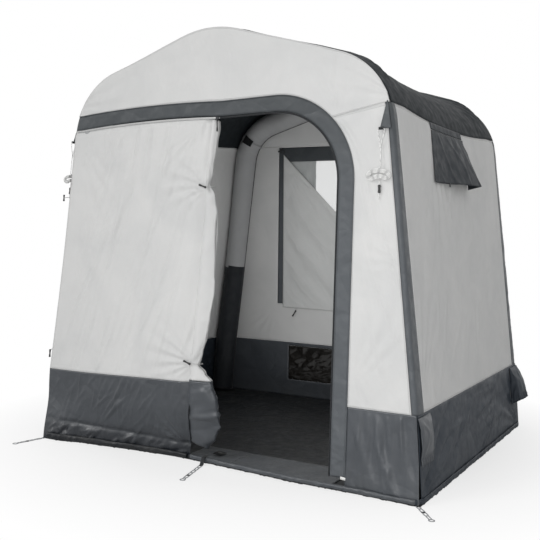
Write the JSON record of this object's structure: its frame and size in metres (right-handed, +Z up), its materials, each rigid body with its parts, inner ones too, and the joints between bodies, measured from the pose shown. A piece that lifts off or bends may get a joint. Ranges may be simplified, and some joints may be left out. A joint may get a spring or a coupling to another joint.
{
  "type": "inflatable storage tent",
  "caption": "Air-beam storage tent with a sewn floor, an arched zip door half tied back, a rear window with curtain, a side vent hood, guy ropes and peg straps.",
  "frame": {"origin": "centre of the footprint, on the underside of the groundsheet", "axes": "+X to the right seen from in front, the door faces -Y, +Z up"},
  "size_m": [2.3291, 2.0678, 2.16],
  "materials": {
    "light_cloth": "coated woven cloth, light grey, matt",
    "dark_cloth": "coated woven cloth, slate grey",
    "trim_cloth": "woven cloth, mid grey",
    "ground_cloth": "heavy coated groundsheet cloth, black",
    "clear_film": "clear flexible window film",
    "black_film": "fine black mesh and coated film",
    "bladder_film": "air-tight film",
    "black_plastic": "moulded plastic, black",
    "grey_plastic": "moulded plastic and webbing, mid grey",
    "white_rope": "braided cord, white",
    "zip_metal": "coil zip and coated slider, black"
  },
  "bodies": {
    "tent": {"corner_strip_front_left": "trim_cloth", "corner_strip_front_right": "trim_cloth", "corner_strip_rear_left": "trim_cloth", "corner_strip_rear_right": "trim_cloth", "door_trim": "trim_cloth", "front_beam_bladder": "bladder_film", "front_beam_sleeve": "light_cloth", "front_brow": "light_cloth", "front_right_mud_band": "dark_cloth", "front_right_panel": "light_cloth", "front_valve_body": "grey_plastic", "groundsheet": "ground_cloth", "guy_gusset_left": "trim_cloth", "guy_gusset_right": "trim_cloth", "guy_hank_left": "white_rope", "guy_hank_right": "white_rope", "guy_rope_left": "white_rope", "guy_rope_right": "white_rope", "guy_tail_left": "white_rope", "guy_tail_right": "white_rope", "left_mud_band": "dark_cloth", "left_wall": "light_cloth", "low_vent_panel": "black_film", "rear_beam_bladder": "bladder_film", "rear_beam_sleeve": "light_cloth", "rear_beam_tie": "black_plastic", "rear_gable": "light_cloth", "rear_mud_band": "dark_cloth", "rear_valve_body": "grey_plastic", "rear_wall": "light_cloth", "right_mud_band": "dark_cloth", "right_wall": "light_cloth", "roof_left": "dark_cloth", "roof_right": "dark_cloth", "sill_left_end": "dark_cloth", "vent_mesh": "black_film", "window_blind": "light_cloth", "window_border": "trim_cloth", "window_film": "clear_film", "zip_track": "zip_metal"},
    "door_leaf": {"door_leaf_panel": "light_cloth", "door_leaf_mud_band": "dark_cloth"},
    "door_half": {"door_half_gathered": "light_cloth", "door_half_mud_band": "dark_cloth"},
    "door_slider": {"door_slider": "zip_metal"},
    "sill_flap": {"sill_flap": "dark_cloth"},
    "window_curtain": {"window_curtain": "light_cloth"},
    "vent_hood": {"vent_hood": "dark_cloth"},
    "front_valve_cap": {"front_valve_cap": "grey_plastic"},
    "rear_valve_cap": {"rear_valve_cap": "grey_plastic"},
    "front_valve_plunger": {"front_valve_plunger": "grey_plastic"},
    "rear_valve_plunger": {"rear_valve_plunger": "grey_plastic"},
    "front_pocket_flap": {"front_valve_pocket_flap": "dark_cloth"},
    "rear_pocket_flap": {"rear_valve_pocket_flap": "dark_cloth"},
    "guy_runner_left": {"guy_runner_left": "black_plastic"},
    "guy_runner_right": {"guy_runner_right": "black_plastic"},
    "ladder_strap_left": {"ladder_strap_left": "grey_plastic"},
    "ladder_strap_middle": {"ladder_strap_middle": "grey_plastic"},
    "ladder_strap_right": {"ladder_strap_right": "grey_plastic"}
  },
  "joints": [
    {"name": "door_leaf_hinge", "type": "hinge", "parent": "tent", "child": "door_leaf", "pos_m": [-1.06247, -0.89326, 0.385], "axis": [-0.1184, -0.0174, -0.9928], "range_deg": [0, 90]},
    {"name": "door_half_hinge", "type": "hinge", "parent": "door_leaf", "child": "door_half", "pos_m": [-0.12933, -0.89326, 0.385], "axis": [-0.0761, -0.0174, -0.997], "range_deg": [0, 75]},
    {"name": "door_zip_slide", "type": "slide", "parent": "tent", "child": "door_slider", "axis": [0.9994, 0.0006, 0.034], "range_m": [-0.8, 0.3]},
    {"name": "sill_flap_hinge", "type": "hinge", "parent": "tent", "child": "sill_flap", "pos_m": [0.075, -0.89, 0.0033], "axis": [1, 0, 0], "range_deg": [0, 80]},
    {"name": "window_curtain_hinge", "type": "hinge", "parent": "tent", "child": "window_curtain", "pos_m": [-0.592, 0.87468, 1.1725], "axis": [0, 0.0175, -0.9998], "range_deg": [0, 100]},
    {"name": "vent_hood_hinge", "type": "hinge", "parent": "tent", "child": "vent_hood", "pos_m": [0.90213, -0.351, 1.68047], "axis": [0, -1, 0], "range_deg": [0, 30]},
    {"name": "front_valve_plunger_slide", "type": "slide", "parent": "tent", "child": "front_valve_plunger", "axis": [-0.9963, 0, -0.0854], "range_m": [0, 0.004], "stiffness_N_per_m": 250, "springref_m": -0.001},
    {"name": "front_valve_cap_twist", "type": "hinge", "parent": "tent", "child": "front_valve_cap", "pos_m": [1.0676, -0.81856, 0.26417], "axis": [0.9963, 0, 0.0854], "range_deg": [0, 360]},
    {"name": "front_pocket_flap_hinge", "type": "hinge", "parent": "tent", "child": "front_pocket_flap", "pos_m": [1.07123, -0.81856, 0.37428], "axis": [0, -1, 0], "range_deg": [0, 110]},
    {"name": "rear_valve_plunger_slide", "type": "slide", "parent": "tent", "child": "rear_valve_plunger", "axis": [-0.9963, 0, -0.0854], "range_m": [0, 0.004], "stiffness_N_per_m": 250, "springref_m": -0.001},
    {"name": "rear_valve_cap_twist", "type": "hinge", "parent": "tent", "child": "rear_valve_cap", "pos_m": [1.0676, 0.81856, 0.26417], "axis": [0.9963, 0, 0.0854], "range_deg": [0, 360]},
    {"name": "rear_pocket_flap_hinge", "type": "hinge", "parent": "tent", "child": "rear_pocket_flap", "pos_m": [1.07123, 0.81856, 0.37428], "axis": [0, -1, 0], "range_deg": [0, 110]},
    {"name": "guy_runner_slide_left", "type": "slide", "parent": "tent", "child": "guy_runner_left", "axis": [0.1184, 0, 0.993], "range_m": [0, 0.01]},
    {"name": "guy_runner_slide_right", "type": "slide", "parent": "tent", "child": "guy_runner_right", "axis": [0, 0, 1], "range_m": [0, 0.01]},
    {"name": "ladder_strap_left_hinge", "type": "hinge", "parent": "tent", "child": "ladder_strap_left", "pos_m": [-1.062, -0.90288, 0.0028], "axis": [-0.9781, 0.2079, 0], "range_deg": [0, 90]},
    {"name": "ladder_strap_middle_hinge", "type": "hinge", "parent": "tent", "child": "ladder_strap_middle", "pos_m": [-0.04, -0.90322, 0.0028], "axis": [-0.9703, -0.2419, 0], "range_deg": [0, 90]},
    {"name": "ladder_strap_right_hinge", "type": "hinge", "parent": "tent", "child": "ladder_strap_right", "pos_m": [1.078, -0.90696, 0.0028], "axis": [-0.788, -0.6157, 0], "range_deg": [0, 90]}
  ]
}
